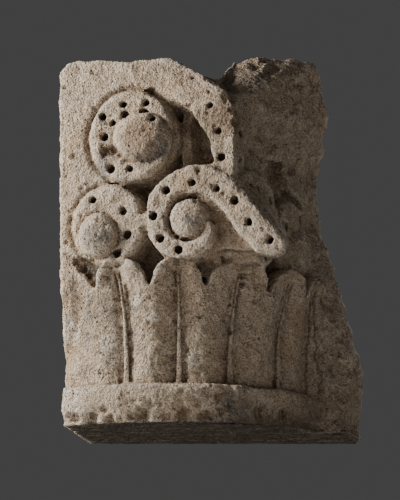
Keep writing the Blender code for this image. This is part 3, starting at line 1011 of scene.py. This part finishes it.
    def chips(
        self, points: np.ndarray, edges: np.ndarray, normals: np.ndarray, grain: Grain
    ) -> np.ndarray:
        """How far the stone's sharper edges are chipped back.

        Args:
            points: The worn vertices.
            edges: Pairs of vertex numbers.
            normals: The vertices' normals.
            grain: The noise that places the chips.

        Returns:
            A depth for each vertex.
        """
        proud = ((points - self.relax(points, edges, 22, 0.6)) * normals).sum(axis=1)
        edge = ramp(proud, 0.0003, 0.0013)
        large = ramp(grain.layers(points, self.chip_spread, 3), 0.05, 0.75)
        where = large + 0.25 * ramp(grain.waves(points, self.chip_bite), 0.0, 0.8)
        return self.chip_depth * edge * where

    def relief(self, points: np.ndarray, grain: Grain, broken: np.ndarray) -> np.ndarray:
        """The stone's small swells, grit, pits and broken facets.

        Args:
            points: The worn vertices.
            grain: The noise that shapes them.
            broken: How much of each place is raw broken stone.

        Returns:
            How far each vertex moves out.
        """
        move = self.swell * (grain.layers(points, self.swell_length, 3) - 0.4)
        move += self.grit * grain.layers(points, self.grit_length, 2, 0.7)
        large = (self.pit_size, self.pit_depth, 0.60)
        small = (self.pit_size * 0.5, self.pit_depth * 0.5, 0.45)
        for size, depth, share in (large, small):
            near, _, chance = grain.cells(points, size)
            reach = 0.10 + 0.30 * ramp(chance, share, 1.0)
            move -= depth * np.clip(1.0 - near / reach, 0.0, 1.0) ** 0.7 * (chance > share)
        shake = np.stack([grain.waves(points + k, self.shake_length) for k in range(3)], axis=1)
        shaken = points + self.shake * shake
        near, second, chance = grain.cells(shaken, self.facet_size)
        facet = (chance - 0.5) * 2.0 * ramp(second - near, 0.0, 0.15)
        rough = grain.layers(points + 3.1, self.break_length, 4, 0.55)
        return move + broken * self.break_swell * (0.45 * facet + rough - 0.55)

    def streaks(self, points: np.ndarray, grain: Grain, low: float) -> np.ndarray:
        """Tool marks that run across the lower bed and only cut into it.

        Args:
            points: The stone's vertices.
            grain: The noise that shapes the marks.
            low: The height of the lower bed.

        Returns:
            How far each vertex is lifted.
        """
        along = points * np.array([0.16, 1.0, 1.0]) + np.array([0.0, 0.12, 0.0]) * points[:, :1]
        marks = ramp(grain.layers(along, self.mark_length, 2, 0.6), -0.15, 0.65)
        return self.mark_depth * marks * ramp(-points[:, 2], -low - 0.0035, -low - 0.0008)

    def carve(self, stone: bpy.types.Object) -> None:
        """Wears the skin and moves it into its small relief.

        Args:
            stone: The skinned object.
        """
        mesh = stone.data
        edges = self.edges(mesh)
        low, high = (np.array(corner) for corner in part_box(self.node))
        points = self.wear(self.points(mesh), edges, self.normals(mesh))
        mesh.vertices.foreach_set("co", points.ravel())
        mesh.update()
        normals = self.relax(self.normals(mesh), edges, 3)
        normals /= np.maximum(np.linalg.norm(normals, axis=1, keepdims=True), 1e-9)
        grain = Grain(5)
        bed = ramp(-points[:, 2], -low[2] - 0.0035, -low[2] - 0.0005)
        back = ramp(points[:, 1], high[1] - 0.004, high[1] - 0.001)
        free = 1.0 - np.maximum(bed, back)
        move = self.relief(points, grain, self.breaks(points))
        move = move - self.chips(points, edges, normals, grain)
        tree = BVHTree.FromObject(stone, bpy.context.evaluated_depsgraph_get())
        points = points + normals * (move * free)[:, None]
        hollows = [(gouge, self.soft_edge) for gouge in self.gouges]
        hollows += [(gouge, self.sharp_edge) for gouge in self.drilled]
        for gouge, power in hollows:
            place, normal = self.seen(tree, gouge.across, gouge.down)
            away = np.linalg.norm(points - place, axis=1)
            near_by = away < gouge.radius * 2.2
            uneven = gouge.rough * grain.layers(points[near_by], gouge.radius * 0.9, 3)
            edge = away[near_by] * (1.0 + uneven)
            depth = gouge.depth * np.exp(-((edge / gouge.radius) ** power))
            points[near_by] -= depth[:, None] * normal
        outward = normals * np.array([1.0, 1.0, 0.0])
        for cut in (*self.ribs, *self.rims):
            points -= outward * cut.depth(points)[:, None]
        points[:, 2] += self.streaks(points, grain, low[2])
        points = np.clip(points, low, high)
        mesh.vertices.foreach_set("co", points.ravel())
        mesh.update()

    def thin(self, stone: bpy.types.Object) -> None:
        """Brings the mesh under its number of triangles, most of all on its plain sides.

        Args:
            stone: The carved object.
        """
        mesh = stone.data
        count = sum(len(face.vertices) - 2 for face in mesh.polygons)
        points, normals = self.points(mesh), self.normals(mesh)
        x, y, z = points.T
        plain = np.maximum(ramp(y, *self.plain_behind), ramp(z, *self.plain_above))
        joint = ramp(-normals[:, 0], *self.joint_facing) * ramp(-x, *self.joint_past)
        plain = np.maximum(plain, joint)
        plain = np.maximum(plain, ramp(-z, *self.bed_depth))
        plain = np.round(plain, 1)
        group = stone.vertex_groups.new(name="plain")
        for share in np.unique(plain):
            if share > 0.0:
                group.add(np.nonzero(plain == share)[0].tolist(), float(share), "REPLACE")
        spared = count * (1.0 - (1.0 - self.plain_kept) * float(plain.mean()))
        for target, influence in ((spared, self.plain_first), (self.most_triangles, 0.0)):
            now = sum(len(face.vertices) - 2 for face in stone.data.polygons)
            if now <= target:
                continue
            fewer = stone.modifiers.new("fewer", "DECIMATE")
            fewer.use_collapse_triangulate = True
            if influence:
                fewer.vertex_group = group.name
                fewer.vertex_group_factor = influence
            fewer.ratio = target / now
            self.settle(stone)
            log.info("stone skin %d triangles, now %d", now, len(stone.data.polygons))
        low, high = (np.array(corner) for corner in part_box(self.node))
        kept = np.clip(self.points(stone.data), low, high)
        stone.data.vertices.foreach_set("co", kept.ravel())
        stone.data.update()

    def store(self, mesh: bpy.types.Mesh, name: str, values: np.ndarray) -> None:
        """Keeps one number to a vertex under a name that the finish reads."""
        mask = mesh.attributes.new(name, "FLOAT", "POINT")
        mask.data.foreach_set("value", values.astype(np.float32))

    def weather(self, stone: bpy.types.Object) -> None:
        """Works out where the stone has damp marks, growth, chalk and blackening, where painted
        shade falls in its hollows, undersides and shaded recesses, and where its proud edges carry
        a painted highlight and rubbed wear.

        Args:
            stone: The finished mesh's object.
        """
        mesh = stone.data
        points, edges, normals = self.points(mesh), self.edges(mesh), self.normals(mesh)
        grain = Grain(11)
        smooth = self.relax(points, edges, 14, 0.6)
        depth = ((smooth - points) * normals).sum(axis=1)
        # painted shade with dirt: how far each place lies sunk below its smoothed surface, kept as
        # the hollow mask
        self.store(mesh, "hollow", ramp(depth, *self.hollow_dirt_and_shade_span))
        # painted highlight with rubbed wear: how proud each place stands, kept as the edge mask
        self.store(mesh, "edge", ramp(-depth, *self.rubbed_edge_and_highlight_span))
        tree = BVHTree.FromObject(stone, bpy.context.evaluated_depsgraph_get())
        for zone in Zone:
            share = np.zeros(len(points))
            for patch in self.patches:
                if patch.zone is zone:
                    place, _ = self.seen(tree, patch.across, patch.down)
                    away = np.linalg.norm(points - place, axis=1)
                    away *= 1.0 + 0.35 * grain.layers(points, patch.radius, 3)
                    near_by = ramp(-away, -patch.radius * 1.3, -patch.radius * 0.4)
                    share = np.maximum(share, patch.strength * near_by)
            # painted shade: every downward-facing surface darkened, as if under an overhang
            if zone is Zone.SOOT_AND_SHADE:
                share = np.maximum(share, 0.7 * ramp(-normals[:, 2], 0.75, 0.95))
            self.store(mesh, zone.value, share)

    def build(self) -> bpy.types.Object:
        """Makes the stone piece.

        Returns:
            The finished object.
        """
        stone = self.skinned()
        self.carve(stone)
        self.thin(stone)
        self.weather(stone)
        return stone

    def dress(self, stone: bpy.types.Object) -> None:
        """Gives the stone its finish and ties it to the frame.

        Args:
            stone: The finished object.
        """
        stone.data.materials.clear()
        stone.data.materials.append(self.finish.make())
        for face in stone.data.polygons:
            face.use_smooth = True
        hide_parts(self.node)
        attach(stone, "root")


def main() -> None:
    """Builds the studio and the stone in order."""
    logging.basicConfig(level=logging.INFO, format="%(name)s %(message)s")
    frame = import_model()
    log.info("frame with nodes %s", ", ".join(frame["nodes"]))
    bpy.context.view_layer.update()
    camera = PhotoCamera()
    camera.build()
    Studio().build()
    carving = CarvedStone(camera=camera)
    stone = carving.build()
    carving.dress(stone)
    log.info("piece %s", stone.name)


if __name__ == "__main__":
    main()
